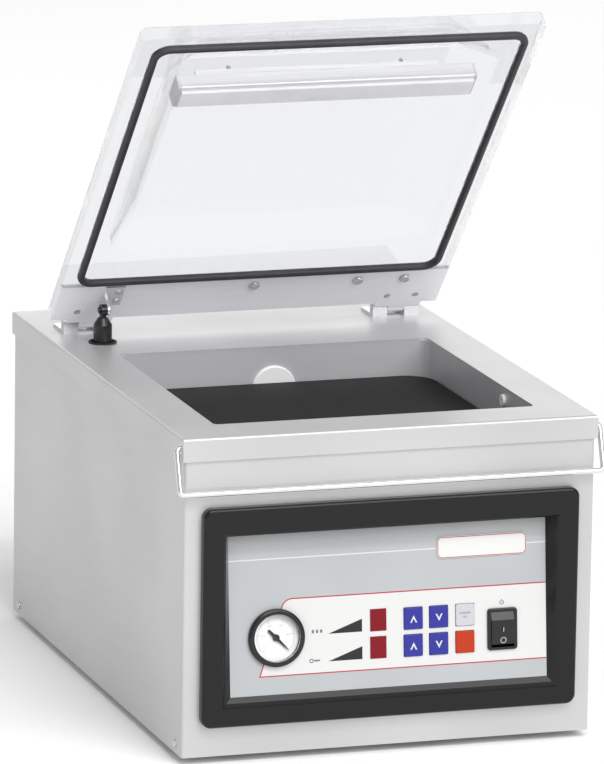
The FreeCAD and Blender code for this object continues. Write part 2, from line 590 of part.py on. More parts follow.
def make_spring_lid_bracket():
    """An angle under the hinge rail; its slot lets the pin stay on the spring's straight line."""
    x0 = SPRING_X + SPRING_EYE_HALF + 0.6
    xs = (x0, x0 + BRACKET_T)
    pivot_z = SPRING_PIVOT_CLOSED_Z
    half = SPRING_PIN_R + 2.1
    towards_hinge = V(0, SPRING_PIVOT_FORWARD, SPRING_PIVOT_RISE).normalize()
    near = V(0, SPRING_Y, pivot_z)
    far = near.add(V(towards_hinge).multiply(SLOT_RUN))
    plate = box(xs, (SPRING_Y - half, SPRING_Y + half + 1.5), (pivot_z, LID_UNDER))
    plate = plate.fuse(rod(half, (xs[0], near.y, near.z), (xs[1], near.y, near.z)))
    slot = None
    for step in (near, far):
        end = rod(SPRING_PIN_R + SLOT_PLAY, (xs[0] - 1, step.y, step.z), (xs[1] + 1, step.y, step.z))
        slot = end if slot is None else slot.fuse(end)
    side = V(0, -towards_hinge.z, towards_hinge.y).multiply(SPRING_PIN_R + SLOT_PLAY)
    corners = [near.add(side), far.add(side), far.sub(side), near.sub(side)]
    slot = slot.fuse(polygon_prism([(xs[0] - 1, c.y, c.z) for c in corners], V(BRACKET_T + 2, 0, 0)))
    base = box((x0, SPRING_X + 19), (lid_y(44), lid_y(20)), (LID_UNDER - BRACKET_T, LID_UNDER))
    bracket = plate.cut(slot).fuse(base)
    for x, forward in BRACKET_SCREWS:
        bracket = bracket.cut(rod(1.7, (x, lid_y(forward), DECK_Z), (x, lid_y(forward), LID_UNDER + 1)))
    keep("spring_lid_bracket", opened(bracket.removeSplitter()))


SLOT_RUN = 4.2
SLOT_PLAY = 0.5


# ---------------------------------------------------------------- hold-down bail
def make_bail():
    end_x = SKIRT_X - SHEET
    low_y = BAIL_PIVOT_Y - BAIL_REACH
    low_z = BAIL_PIVOT_Z - BAIL_DROP
    route = [(-end_x, BAIL_PIVOT_Y, BAIL_PIVOT_Z), (-BAIL_X, BAIL_PIVOT_Y, BAIL_PIVOT_Z),
             (-BAIL_X, low_y, low_z), (BAIL_X, low_y, low_z),
             (BAIL_X, BAIL_PIVOT_Y, BAIL_PIVOT_Z), (end_x, BAIL_PIVOT_Y, BAIL_PIVOT_Z)]
    keep("wire_bail", bent_wire(route, 3.2, BAIL_WIRE_R))
    washers = [tube(4.0, BAIL_WIRE_R + RUNNING, (side * SKIRT_X, BAIL_PIVOT_Y, BAIL_PIVOT_Z),
                    (side * (SKIRT_X - SHEET), BAIL_PIVOT_Y, BAIL_PIVOT_Z)) for side in (-1, 1)]
    PARTS["deck_top"][0] = PARTS["deck_top"][0].cut(washers[0]).cut(washers[1])
    keep("bail_bushes", washers)


# ---------------------------------------------------------------- control panel
# The controls are drawn on an upright plate at PANEL_Y and leaned back together at the end.
GAUGE_X = -89.8
GAUGE_Z = 95.5
GAUGE_RING_R = 22.25
GAUGE_DIAL_R = 18.3
NEEDLE_TILT = 45.0
SWITCH_X = 90.8
SWITCH_Z = 90.7
SWITCH_PIVOT_Y = PANEL_Y + 4.0
ROCKER_TILT = 18.0
KEY_W = 15.0
KEY_H = 16.8
KEYS = {"key_upper_up": (19.5, 103.4), "key_upper_down": (39.9, 103.4),
        "key_lower_up": (19.3, 82.6), "key_lower_down": (39.7, 82.6),
        "key_grey": (61.0, 103.5), "key_orange": (60.8, 82.7)}
DISPLAYS = [(-8.4, 103.9), (-8.7, 82.8)]
DISPLAY_W = 12.8
BADGE_X = 74.9
BADGE_Z = 156.1


def panel_box(x, z, width, height, ys):
    """A block on the panel, centred at (x, z)."""
    return box((x - width / 2, x + width / 2), ys, (z - height / 2, z + height / 2))


def leaned(solid):
    """A piece of the panel, leaned back about the middle of the fascia's face."""
    turned = solid.copy()
    turned.rotate(V(0, PANEL_Y, BEZEL_MID_Z), X_AXIS, -PANEL_LEAN)
    return turned


def funnel(margin):
    """The flared mouth of the bezel, run on past its face by this share of its depth."""
    rings = []
    for share in (1 + margin, -margin):
        ring = []
        for x_way, low_or_high in ((-1, 0), (1, 0), (1, 1), (-1, 1)):
            face = V(x_way * BEZEL_MOUTH_X, -BODY_Y - BEZEL_PROUD, BEZEL_MOUTH_Z[low_or_high])
            corner = Part.Vertex(x_way * FASCIA_SEEN_X, PANEL_Y, FASCIA_SEEN_Z[low_or_high])
            deep = leaned(corner).Point
            ring.append(deep.add(face.sub(deep).multiply(share)))
        rings.append(Part.makePolygon(ring + ring[:1]))
    return Part.makeLoft(rings, True, True)


def mouth_chamfer(face):
    """A cutter for the small chamfer round the funnel's edge in the bezel's face."""
    rings = []
    for y, wider in ((face - 0.2, 1.2), (face + 1.2, -0.2)):
        x = BEZEL_MOUTH_X + wider
        low, high = BEZEL_MOUTH_Z[0] - wider, BEZEL_MOUTH_Z[1] + wider
        ring = [V(-x, y, low), V(x, y, low), V(x, y, high), V(-x, y, high)]
        rings.append(Part.makePolygon(ring + ring[:1]))
    return Part.makeLoft(rings, True, True)


def make_panel():
    face = -BODY_Y - BEZEL_PROUD
    frame = rounded_box((-BEZEL_W / 2, BEZEL_W / 2), (face, -BODY_Y),
                        (BEZEL_MID_Z - BEZEL_H / 2, BEZEL_MID_Z + BEZEL_H / 2), 7.5, Y_AXIS)
    frame = fillet_where(frame, 2.6, lambda e: in_plane(e, "y", face))
    sleeve = box((1 - CUT_OUT_X, CUT_OUT_X - 1), (-BODY_Y, -220.0), (CUT_OUT_Z[0] + 1, CUT_OUT_Z[1] - 1))
    plate_xs = (-FASCIA_SEEN_X - FASCIA_HIDDEN, FASCIA_SEEN_X + FASCIA_HIDDEN)
    plate_zs = (FASCIA_SEEN_Z[0] - FASCIA_HIDDEN, FASCIA_SEEN_Z[1] + FASCIA_HIDDEN)
    pocket = leaned(box((plate_xs[0] - 0.02, plate_xs[1] + 0.02), (PANEL_Y, PANEL_Y + 40),
                        (plate_zs[0] - 0.02, plate_zs[1] + 0.02)))
    bezel = frame.fuse(sleeve).removeSplitter().cut(funnel(0.2)).cut(mouth_chamfer(face))
    keep("front_bezel", bezel.cut(pocket))

    back = PANEL_Y + SHEET
    fascia = box(plate_xs, (PANEL_Y, back), plate_zs)
    through = (PANEL_Y - 2, back + 2)
    for x, z in KEYS.values():
        fascia = fascia.cut(panel_box(x, z, KEY_W + 0.4, KEY_H + 0.4, through))
    for x, z in DISPLAYS:
        fascia = fascia.cut(panel_box(x, z, DISPLAY_W, KEY_H, through))
    fascia = fascia.cut(rod(20.0, (GAUGE_X, through[0], GAUGE_Z), (GAUGE_X, through[1], GAUGE_Z)))
    fascia = fascia.cut(panel_box(SWITCH_X, SWITCH_Z, 21.0, 29.0, through))
    keep("control_fascia", leaned(fascia))

    windows = [panel_box(x, z, DISPLAY_W - 0.02, KEY_H - 0.02, (PANEL_Y - 0.5, back)) for x, z in DISPLAYS]
    keep("display_windows", [leaned(w) for w in windows])
    for name, (x, z) in KEYS.items():
        cap = panel_box(x, z, KEY_W, KEY_H, (PANEL_Y - 1.3, back + 0.6))
        cap = fillet_where(cap, 1.5, lambda e: along(e, Y_AXIS))
        cap = fillet_where(cap, 0.6, lambda e: in_plane(e, "y", PANEL_Y - 1.3))
        keep(name, leaned(cap))

    badge = rounded_box((BADGE_X - 36, BADGE_X + 36), (PANEL_Y - 1.2, PANEL_Y),
                        (BADGE_Z - 8.5, BADGE_Z + 8.5), 4.0, Y_AXIS)
    badge = fillet_where(badge, 0.5, lambda e: in_plane(e, "y", PANEL_Y - 1.2))
    keep("blank_badge", leaned(badge))

    board_y = back + 3.4
    board_xs, board_zs = (-62, 75), (66, 122)
    board = [box(board_xs, (board_y, board_y + 1.6), board_zs)]
    for x in (board_xs[0] + 4, board_xs[1] - 4):
        for z in (board_zs[0] + 4, board_zs[1] - 4):
            board.append(rod(2.5, (x, back, z), (x, board_y, z)))
    for x, z, w, h, deep in [(-33, 94, 30, 22, 14), (17, 94, 18, 26, 9), (49, 94, 14, 30, 17),
                             (-53, 94, 8, 18, 12)]:
        board.append(panel_box(x, z, w, h, (board_y + 1.6, board_y + 1.6 + deep)))
    keep("control_board", [leaned(piece) for piece in board])


def make_gauge():
    front = PANEL_Y - 4.2
    back = PANEL_Y + 22.0
    at = lambda y: (GAUGE_X, y, GAUGE_Z)
    case = rod(GAUGE_RING_R, at(front), at(PANEL_Y))
    case = fillet_where(case, 1.8, lambda e: in_plane(e, "y", front))
    case = case.fuse(rod(19.9, at(PANEL_Y), at(back)))
    case = case.cut(rod(GAUGE_DIAL_R, at(front - 1), at(PANEL_Y + 10)))
    case = case.fuse(rod(3.5, at(back), at(back + 12)))
    keep("gauge_case", leaned(case.removeSplitter()))
    dial = tube(GAUGE_DIAL_R - 0.02, 1.3, at(PANEL_Y + 1.0), at(PANEL_Y + 2.0))
    keep("gauge_dial", leaned(dial))
    keep("gauge_glass", leaned(rod(GAUGE_DIAL_R - 0.02, at(front + 1.0), at(front + 2.4))))

    needle_y = PANEL_Y - 0.2
    spindle = rod(1.2, at(needle_y - 0.6), at(PANEL_Y + 9))
    hub = rod(2.6, at(needle_y - 0.6), at(needle_y + 0.4))
    outline = [(-0.95, 8.5), (0.95, 8.5), (1.2, 0), (0.3, -13.5), (-0.3, -13.5), (-1.2, 0)]
    blade = polygon_prism([(GAUGE_X + x, needle_y - 0.4, GAUGE_Z + z) for x, z in outline], V(0, 0.6, 0))
    blade.rotate(V(*at(needle_y)), Y_AXIS, -NEEDLE_TILT)
    keep("gauge_needle", leaned(spindle.fuse(hub).fuse(blade).removeSplitter()))


def make_switch():
    front = PANEL_Y - 2.0
    frame = panel_box(SWITCH_X, SWITCH_Z, 24.0, 32.0, (front, PANEL_Y))
    frame = fillet_where(frame, 2.5, lambda e: along(e, Y_AXIS))
    frame = fillet_where(frame, 0.8, lambda e: in_plane(e, "y", front))
    body = panel_box(SWITCH_X, SWITCH_Z, 20.8, 28.8, (PANEL_Y, PANEL_Y + 22))
    well = panel_box(SWITCH_X, SWITCH_Z, 18.6, 27.6, (front - 1, SWITCH_PIVOT_Y + 7))
    frame = frame.fuse(body).cut(well)
    pivot = lambda x: (SWITCH_X + x, SWITCH_PIVOT_Y, SWITCH_Z)
    frame = frame.cut(rod(1.5 + RUNNING, pivot(-10), pivot(10)))
    keep("switch_frame", leaned(frame.removeSplitter()))

    half_x = 9.1
    half_z = 12.4
    crown = 8.0
    slope = math.tan(math.radians(ROCKER_TILT / 2))
    ridge = 6.0                 # where the two faces meet, above the pivot
    outline = [(-crown, ridge), (-crown + (half_z - ridge) * slope, half_z), (3.5, half_z),
               (3.5, -half_z), (-crown + (half_z + ridge) * slope, -half_z)]
    points = [(SWITCH_X - half_x, SWITCH_PIVOT_Y + y, SWITCH_Z + z) for y, z in outline]
    rocker = polygon_prism(points, V(2 * half_x, 0, 0))
    rocker = rocker.fuse(rod(1.5, pivot(-9.9), pivot(9.9)))
    rocker.rotate(V(*pivot(0)), X_AXIS, -ROCKER_TILT / 2)
    keep("switch_rocker", leaned(rocker.removeSplitter()))


# ---------------------------------------------------------------- pump set and electrics
MOTOR_X = 75.0
MOTOR_Z = 80.0
MOTOR_R = 56.0
PUMP_YS = (-100.0, 0.0)
MOTOR_YS = (0.0, 150.0)
ROTOR_SHIFT = 7.0


def make_pump():
    at = lambda y, dz=0.0: (MOTOR_X, y, MOTOR_Z + dz)
    front, back = PUMP_YS
    body = rounded_box((MOTOR_X - 52, MOTOR_X + 52), (front, back), (22, 140), 12.0, Y_AXIS)
    body = body.cut(rod(38.0, at(front - 1, ROTOR_SHIFT), at(back - 12, ROTOR_SHIFT)))
    body = body.cut(rod(7.3, at(front, 0), at(back + 1, 0)))
    inlet = rod(8.0, (PUMP_INLET_X, PUMP_INLET_Y, 139), (PUMP_INLET_X, PUMP_INLET_Y, 146))
    feet = [box((MOTOR_X + a, MOTOR_X + a + 18), (front + 8, back - 8), (FLOOR_Z, 23)) for a in (-50, 32)]
    body = body.fuse(inlet).cut(rod(5.0, (PUMP_INLET_X, PUMP_INLET_Y, 132), (PUMP_INLET_X, PUMP_INLET_Y, 150)))
    for foot in feet:
        body = body.fuse(foot)
    keep("pump_housing", body.removeSplitter())

    cover = rounded_box((MOTOR_X - 50, MOTOR_X + 50), (front - 12, front), (24, 138), 12.0, Y_AXIS)
    bolts = [(MOTOR_X + 44 * math.cos(math.radians(a)), MOTOR_Z + 49 * math.sin(math.radians(a)))
             for a in range(30, 390, 60)]
    for x, z in bolts:
        cover = cover.fuse(rod(4.0, (x, front - 15, z), (x, front - 12, z)))
    sight = rod(9.0, (MOTOR_X + 25, front - 15, 44), (MOTOR_X + 25, front - 12, 44))
    keep("pump_cover", cover.fuse(sight).removeSplitter())

    rotor = tube(30.5, 7.0, at(front + 0.5), at(back - 12.5))
    for angle in (0, 120, 240):
        slot = box((MOTOR_X - 1.5, MOTOR_X + 1.5), (front, back), (MOTOR_Z + 14, MOTOR_Z + 32))
        slot.rotate(V(*at(0)), Y_AXIS, angle)
        rotor = rotor.cut(slot)
    vanes = []
    for angle in (0, 120, 240):
        vane = box((MOTOR_X - 1.3, MOTOR_X + 1.3), (front + 0.5, back - 12.5), (MOTOR_Z + 14.2, MOTOR_Z + 30.2))
        vane.rotate(V(*at(0)), Y_AXIS, angle)
        vanes.append(vane)
    keep("pump_rotor", [rotor] + vanes)

    start, end = MOTOR_YS
    casing = tube(MOTOR_R, MOTOR_R - 4, at(start), at(end))
    casing = casing.fuse(tube(MOTOR_R, 9.0, at(start), at(start + 6)))
    casing = casing.fuse(tube(MOTOR_R - 1, 9.0, at(end - 34), at(end - 29)))
    guard = rod(MOTOR_R, at(end), at(end + 2))
    for angle in range(0, 180, 30):
        slot = box((MOTOR_X - 46, MOTOR_X + 46), (end - 1, end + 3), (MOTOR_Z - 2.5, MOTOR_Z + 2.5))
        slot = slot.cut(rod(14.0, at(end - 2), at(end + 4)))
        slot.rotate(V(*at(0)), Y_AXIS, angle)
        guard = guard.cut(slot)
    casing = casing.fuse(guard)
    for side in (-1, 1):
        foot_x = sorted((MOTOR_X + side * 16, MOTOR_X + side * 44))
        casing = casing.fuse(box(foot_x, (40, 90), (FLOOR_Z, MOTOR_Z - 38)).cut(
            rod(MOTOR_R - 3, at(30), at(100))))
    stator = tube(MOTOR_R - 4.02, 31.0, at(start + 20), at(end - 50))
    keep("motor_casing", [casing.removeSplitter(), stator])
    shaft = rod(7.0, at(front + 1), at(end - 6)).fuse(rod(30.4, at(start + 20), at(end - 50)))
    keep("motor_shaft", shaft.removeSplitter())
    fan = tube(14.0, 7.02, at(end - 24), at(end - 6))
    for index in range(8):
        blade = box((MOTOR_X - 1, MOTOR_X + 1), (end - 24, end - 8), (MOTOR_Z + 12, MOTOR_Z + 48))
        blade.rotate(V(*at(0)), Y_AXIS, index * 45)
        fan = fan.fuse(blade)
    keep("cooling_fan", fan.removeSplitter())

    filter_x = -45.0
    can = rod(24.0, (filter_x, -70, 60), (filter_x, 60, 60))
    can = fillet_where(can, 5.0, lambda e: in_plane(e, "y", -70) or in_plane(e, "y", 60))
    pipe = rod(8.0, (filter_x, -30, 60), (MOTOR_X - 52, -30, 60))
    saddle = box((filter_x - 15, filter_x + 15), (-10, 20), (FLOOR_Z, 42))
    keep("exhaust_filter", can.fuse(pipe).fuse(saddle).removeSplitter())


PUMP_INLET_X = 40.0
PUMP_INLET_Y = -40.0
HOSE_R = 6.5


def make_valves_and_hose():
    block = box((-40, 0), (80, 116), (104, 146))
    ports = rod(HOSE_R, (-20, 98, 146), (-20, 98, 152))
    valves = [block.fuse(ports).removeSplitter()]
    for z in (115.0, 135.0):
        valves.append(box((-66, -40), (88, 108), (z - 9, z + 9)))
    leg = box((-38, -2), (84, 112), (FLOOR_Z, 104)).cut(box((-35, -5), (80, 116), (FLOOR_Z + 3, 101)))
    valves.append(leg)
    keep("valve_block", valves)

    port = (0, OPENING_REAR + 20, SUCTION_Z)
    upper = bent_wire([port, (0, 98, SUCTION_Z), (-20, 98, 178), (-20, 98, 152)], 9.0, HOSE_R)
    lower = bent_wire([(-20, 80, 125), (-20, 30, 125), (-20, 30, 152), (-20, PUMP_INLET_Y, 152),
                       (PUMP_INLET_X, PUMP_INLET_Y, 152), (PUMP_INLET_X, PUMP_INLET_Y, 146)], 5.0, 4.8)
    keep("suction_hose", [upper, lower])


def make_electrics():
    core = box((-140, -70), (-150, -90), (FLOOR_Z, 75))
    window = [box((-128, -112), (-160, -80), (24, 60)), box((-98, -82), (-160, -80), (24, 60))]
    for hole in window:
        core = core.cut(hole)
    winding = box((-127.9, -82.1), (-162, -78), (24.1, 59.9)).cut(box((-112, -98), (-150, -90), (0, 90)))
    keep("seal_transformer", [core, winding])

    flange = box((INLET_X[0] - 10, INLET_X[1] + 10), (BODY_Y, BODY_Y + 2.6), (INLET_Z[0] - 4, INLET_Z[1] + 4))
    flange = fillet_where(flange, 4.0, lambda e: along(e, Y_AXIS))
    body = box((INLET_X[0] + 0.1, INLET_X[1] - 0.1), (BODY_Y - 24, BODY_Y), (INLET_Z[0] + 0.1, INLET_Z[1] - 0.1))
    inlet = flange.fuse(body).cut(box((INLET_X[0] + 2, INLET_X[1] - 2), (BODY_Y - 16, BODY_Y + 9),
                                      (INLET_Z[0] + 2, INLET_Z[1] - 2)))
    mid_x = sum(INLET_X) / 2
    for dx, dz in ((-7, -2.0), (0, 2.5), (7, -2.0)):
        inlet = inlet.fuse(box((mid_x + dx - 1, mid_x + dx + 1), (BODY_Y - 17, BODY_Y - 1),
                               (50 + dz - 2.5, 50 + dz + 2.5)))
    keep("mains_inlet", inlet.removeSplitter())


def make_cabinet_screws():
    screws = [screw_head((x, BODY_Y, z), Y_AXIS, 3.4, 2.0, 1.55, 3.0) for x, z in REAR_SCREWS]
    for side in (-1, 1):
        for y in (-BODY_Y + 17, BODY_Y - 17):
            screws.append(screw_head((side * BODY_X, y, 13.5), V(side, 0, 0), 3.2, 1.6, 1.55, 3.5))
    for x, y in hinge_screw_places():
        screws.append(screw_head((x, y, DECK_Z + BASE_T), Z_AXIS, 3.6, 2.0, 1.55, 5.0))
    keep("cabinet_screws", screws)


# ---------------------------------------------------------------- build and write
def build():
    make_cabinet()
    make_deck()
    make_chamber()
    make_seal_bar()
    make_lid()
    make_counter_bar()
    make_hinges()
    make_gas_spring()
    make_spring_lid_bracket()
    make_bail()
    make_panel()
    make_gauge()
    make_switch()
    make_pump()
    make_valves_and_hose()
    make_electrics()
    make_cabinet_screws()


def write():
    os.makedirs("parts", exist_ok=True)
    for name, solids in PARTS.items():
        shape = solids[0] if len(solids) == 1 else Part.makeCompound(solids)
        shape.exportStep("parts/" + name + ".step")
        print("%-24s solids %2d valid %s volume %.0f" % (name, len(shape.Solids), shape.isValid(), shape.Volume))
    print(len(PARTS), "nodes")


build()
write()
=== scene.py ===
"""Looks of the tabletop vacuum chamber sealer: finishes, printed marks, studio floor and light.

Everything is in metres in the machine's own frame: +X to the right, +Y to the back, +Z up, with
the floor at zero. Sizes written in millimetres are multiplied by MM.
"""
import bpy
import json
import math
from mathutils import Matrix, Vector


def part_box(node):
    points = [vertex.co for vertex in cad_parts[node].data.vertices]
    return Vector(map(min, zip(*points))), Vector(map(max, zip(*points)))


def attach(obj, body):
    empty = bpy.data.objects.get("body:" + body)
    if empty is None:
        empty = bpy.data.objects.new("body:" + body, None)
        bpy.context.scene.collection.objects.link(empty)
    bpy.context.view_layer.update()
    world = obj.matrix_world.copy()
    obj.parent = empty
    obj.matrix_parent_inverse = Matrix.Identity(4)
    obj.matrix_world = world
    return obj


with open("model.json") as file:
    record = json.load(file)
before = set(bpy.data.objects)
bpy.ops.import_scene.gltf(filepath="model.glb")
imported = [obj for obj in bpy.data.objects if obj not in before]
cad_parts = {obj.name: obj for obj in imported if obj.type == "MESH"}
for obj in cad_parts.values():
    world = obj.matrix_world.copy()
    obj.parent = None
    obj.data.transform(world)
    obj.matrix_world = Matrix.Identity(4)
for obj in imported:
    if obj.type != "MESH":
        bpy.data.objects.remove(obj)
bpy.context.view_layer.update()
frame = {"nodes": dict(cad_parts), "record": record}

MM = 0.001
NOISE_LOW, NOISE_HIGH = 0.3, 0.7    # noise keeps mostly between these values
nodes = frame["nodes"]
scene = bpy.context.scene


# ---------------------------------------------------------------- colours and shader building
def linear(code):
    """An sRGB hex colour as the four linear values that a shader takes."""
    channels = [int(code[i:i + 2], 16) / 255 for i in (1, 3, 5)]
    return [c / 12.92 if c <= 0.04045 else ((c + 0.055) / 1.055) ** 2.4 for c in channels] + [1.0]


def add(tree, kind, inputs=(), **options):
    """Adds a shader node, sets its options, and sets or links its inputs."""
    made = tree.nodes.new("ShaderNode" + kind)
    for option, value in options.items():
        setattr(made, option, value)
    for name, value in dict(inputs).items():
        socket = made.inputs[name]
        if isinstance(value, bpy.types.NodeSocket):
            tree.links.new(value, socket)
        else:
            socket.default_value = value
    return made


def surface(name, colour, roughness, **more):
    """A new material. The values that are the same all over go on the shader's own sockets."""
    material = bpy.data.materials.new(name)
    material.use_nodes = True
    tree = material.node_tree
    shader = tree.nodes["Principled BSDF"]
    shader.inputs["Base Color"].default_value = linear(colour)
    shader.inputs["Roughness"].default_value = roughness
    for socket, value in more.items():
        shader.inputs[socket.replace("_", " ")].default_value = value
    return material, tree, shader


def specks(tree, size_mm, stretch=(1, 1, 1), detail=2.0):
    """Noise whose features are about size_mm across, drawn out along an axis by stretch."""
    place = add(tree, "TexCoord").outputs["Object"]
    per_metre = [1 / (size_mm * MM * longer) for longer in stretch]
    scaled = add(tree, "Mapping", {"Vector": place, "Scale": per_metre})
    noise = add(tree, "TexNoise", {"Vector": scaled.outputs[0], "Scale": 1.0, "Detail": detail})
    return noise.outputs["Fac"]


def between(tree, value, low, high):
    """Noise spread to the values from low to high."""
    spread = add(tree, "MapRange", {"Value": value, "From Min": NOISE_LOW, "From Max": NOISE_HIGH,
                                    "To Min": low, "To Max": high})
    return spread.outputs[0]


def tinted(tree, value, dark, light):
    """Noise turned into colours from dark to light."""
    ramp = add(tree, "ValToRGB", {"Fac": value})
    ends = ((NOISE_LOW, dark), (NOISE_HIGH, light))
    for stop, (position, colour) in zip(ramp.color_ramp.elements, ends):
        stop.position = position
        stop.color = linear(colour)
    return ramp.outputs["Color"]


def roughen(tree, shader, height, depth_mm, strength=1.0):
    """Raises the surface by height times depth_mm."""
    bump = add(tree, "Bump", {"Height": height, "Distance": depth_mm * MM, "Strength": strength})
    tree.links.new(bump.outputs[0], shader.inputs["Normal"])


# ---------------------------------------------------------------- metals
def brushed_sheet(name, dark, light, low, high, satin, depth=0.6):
    """Brushed 304 sheet. The eye sees a soft satin glow with faint lines along the sheet, and
    slow cloudy changes of tone. The real lines are about 0.1 mm wide, so they are drawn coarser.
    They run from left to right, and from front to back on the sides."""
    line_mm, line_length, cloud_mm = 0.8, 70, 130.0
    material, tree, shader = surface(name, light, low, Metallic=satin)
    across = specks(tree, line_mm, (line_length, 1, 1))
    along = specks(tree, line_mm, (1, line_length, 1))
    facing = add(tree, "SeparateXYZ", {0: add(tree, "TexCoord").outputs["Normal"]})
    outwards = add(tree, "Math", {0: facing.outputs["X"]}, operation="ABSOLUTE").outputs[0]
    on_a_side = add(tree, "Math", {0: outwards, 1: 0.7}, operation="GREATER_THAN").outputs[0]
    lines = add(tree, "Mix", {0: on_a_side, 2: across, 3: along}, data_type="FLOAT").outputs[0]
    clouds = specks(tree, cloud_mm, detail=1.0)
    tree.links.new(tinted(tree, clouds, dark, light), shader.inputs["Base Color"])
    tree.links.new(between(tree, lines, low, high), shader.inputs["Roughness"])
    roughen(tree, shader, lines, 0.006, depth)
    return material


def zinc_plate():
    """Zinc-plated steel sheet: dull, blue-grey, with the faint patches of the plating bath."""
    patch_mm = 9
    material, tree, shader = surface("zinc_plated_steel", "#a9abaf", 0.42, Metallic=1.0)
    patches = add(tree, "TexVoronoi", {"Vector": add(tree, "TexCoord").outputs["Object"],
                                       "Scale": 1 / (patch_mm * MM)}, feature="SMOOTH_F1")
    tone = add(tree, "SeparateColor", {0: patches.outputs["Color"]}).outputs[0]
    tree.links.new(tinted(tree, tone, "#9b9da2", "#b4b6ba"), shader.inputs["Base Color"])
    tree.links.new(between(tree, tone, 0.34, 0.48), shader.inputs["Roughness"])
    return material


def turned_stainless():
    """Machined and tumbled stainless fittings: bright, with fine tool marks."""
    material, tree, shader = surface("turned_stainless", "#dcdcde", 0.24, Metallic=0.6)
    marks = specks(tree, 0.6, (1, 1, 6))
    tree.links.new(between(tree, marks, 0.14, 0.28), shader.inputs["Roughness"])
    roughen(tree, shader, marks, 0.004, 0.5)
    return material


def polished_wire():
    """Electro-polished stainless wire: almost a mirror, slightly wavy from drawing."""
    material, tree, shader = surface("polished_wire", "#e4e4e6", 0.16, Metallic=1.0)
    waves = specks(tree, 4.0)
    tree.links.new(between(tree, waves, 0.12, 0.22), shader.inputs["Roughness"])
    roughen(tree, shader, waves, 0.03, 0.4)
    return material


def screw_zinc():
    """Bright zinc on small screws: shiny, with a little bath haze."""
    material, tree, shader = surface("bright_screw_zinc", "#cfd0d3", 0.24, Metallic=1.0)
    haze = specks(tree, 1.5)
    tree.links.new(between(tree, haze, 0.18, 0.34), shader.inputs["Roughness"])
    return material


def anodised_extrusion(name, dark, light, low, high, metal=1.0):
    """Anodised aluminium extrusion: silvery and matt, with long die lines along its length."""
    material, tree, shader = surface(name, light, low, Metallic=metal)
    lines = specks(tree, 0.9, (90, 1, 1))
    tree.links.new(tinted(tree, lines, dark, light), shader.inputs["Base Color"])
    tree.links.new(between(tree, lines, low, high), shader.inputs["Roughness"])
    roughen(tree, shader, lines, 0.01, 0.6)
    return material


def cast_paint():
    """Grey paint over an iron casting: satin, with the sand's roughness showing through."""
    material, tree, shader = surface("painted_casting", "#7d8085", 0.5)
    sand = specks(tree, 1.4, detail=4.0)
    tree.links.new(tinted(tree, sand, "#75787d", "#868a8f"), shader.inputs["Base Color"])
    roughen(tree, shader, sand, 0.12, 0.7)
    return material


def machined_steel():
    """Turned steel with an oil film: mid grey, half bright, with rings from the tool."""
    material, tree, shader = surface("machined_steel", "#a6a7aa", 0.3, Metallic=1.0)
    rings = specks(tree, 0.5, (8, 1, 8))
    tree.links.new(between(tree, rings, 0.22, 0.4), shader.inputs["Roughness"])
    return material


def core_laminations():
    """Varnished transformer steel: dark brown-grey with the thin edges of the stack."""
    material, tree, shader = surface("varnished_laminations", "#4a4643", 0.4)
    sheets = specks(tree, 0.5, (40, 1, 40))
    tree.links.new(tinted(tree, sheets, "#3b3835", "#5a5551"), shader.inputs["Base Color"])
    roughen(tree, shader, sheets, 0.1, 0.8)
    return material


def machined_brass():
    """Turned brass: warm yellow with fine tool lines and a slight tarnish."""
    material, tree, shader = surface("machined_brass", "#c9a45a", 0.28, Metallic=1.0)
    tarnish = specks(tree, 7.0)
    tree.links.new(tinted(tree, tarnish, "#b8924a", "#d3b06a"), shader.inputs["Base Color"])
    lines = specks(tree, 0.5, (10, 1, 1))
    tree.links.new(between(tree, lines, 0.2, 0.36), shader.inputs["Roughness"])
    return material


# ---------------------------------------------------------------- clear and coloured plastics
def clear_acrylic(name, tint, roughness, lamp_tint, index, bending):
    """Cast acrylic: water clear with pale grey edges. Lamps shine through it onto what is below.
    Acrylic's index is 1.49. It is lowered, and only the share called bending is refracted, so that
    the rims stay pale and don't mirror the black gasket."""
    material, tree, shader = surface(name, tint, roughness, IOR=index, Transmission_Weight=1.0,
                                     Alpha=bending)
    waves = specks(tree, 60.0, detail=1.0)
    roughen(tree, shader, waves, 0.02, 0.3)
    lamp = add(tree, "BsdfTransparent", {"Color": linear(lamp_tint)})
    shadow = add(tree, "LightPath").outputs["Is Shadow Ray"]
    both = add(tree, "MixShader", {0: shadow, 1: shader.outputs[0], 2: lamp.outputs[0]})
    tree.links.new(both.outputs[0], tree.nodes["Material Output"].inputs["Surface"])
    return material


def moulded(name, colour, roughness, grain_mm, depth_mm, spread=0.06, **more):
    """Injection-moulded plastic: even colour, with the fine spark texture of its mould."""
    material, tree, shader = surface(name, colour, roughness, **more)
    texture = specks(tree, grain_mm, detail=3.0)
    tree.links.new(between(tree, texture, roughness - spread, roughness + spread),
                   shader.inputs["Roughness"])
    roughen(tree, shader, texture, depth_mm, 0.6)
    return material


def two_tone(name, dark, light, roughness, size_mm, grain_mm, depth_mm, **more):
    """A soft surface whose tone drifts between dark and light over size_mm, with a fine grain."""
    material, tree, shader = surface(name, light, roughness, **more)
    tree.links.new(tinted(tree, specks(tree, size_mm), dark, light), shader.inputs["Base Color"])
    grain = specks(tree, grain_mm, detail=3.0)
    tree.links.new(between(tree, grain, roughness - 0.05, roughness + 0.05),
                   shader.inputs["Roughness"])
    roughen(tree, shader, grain, depth_mm, 0.7)
    return material


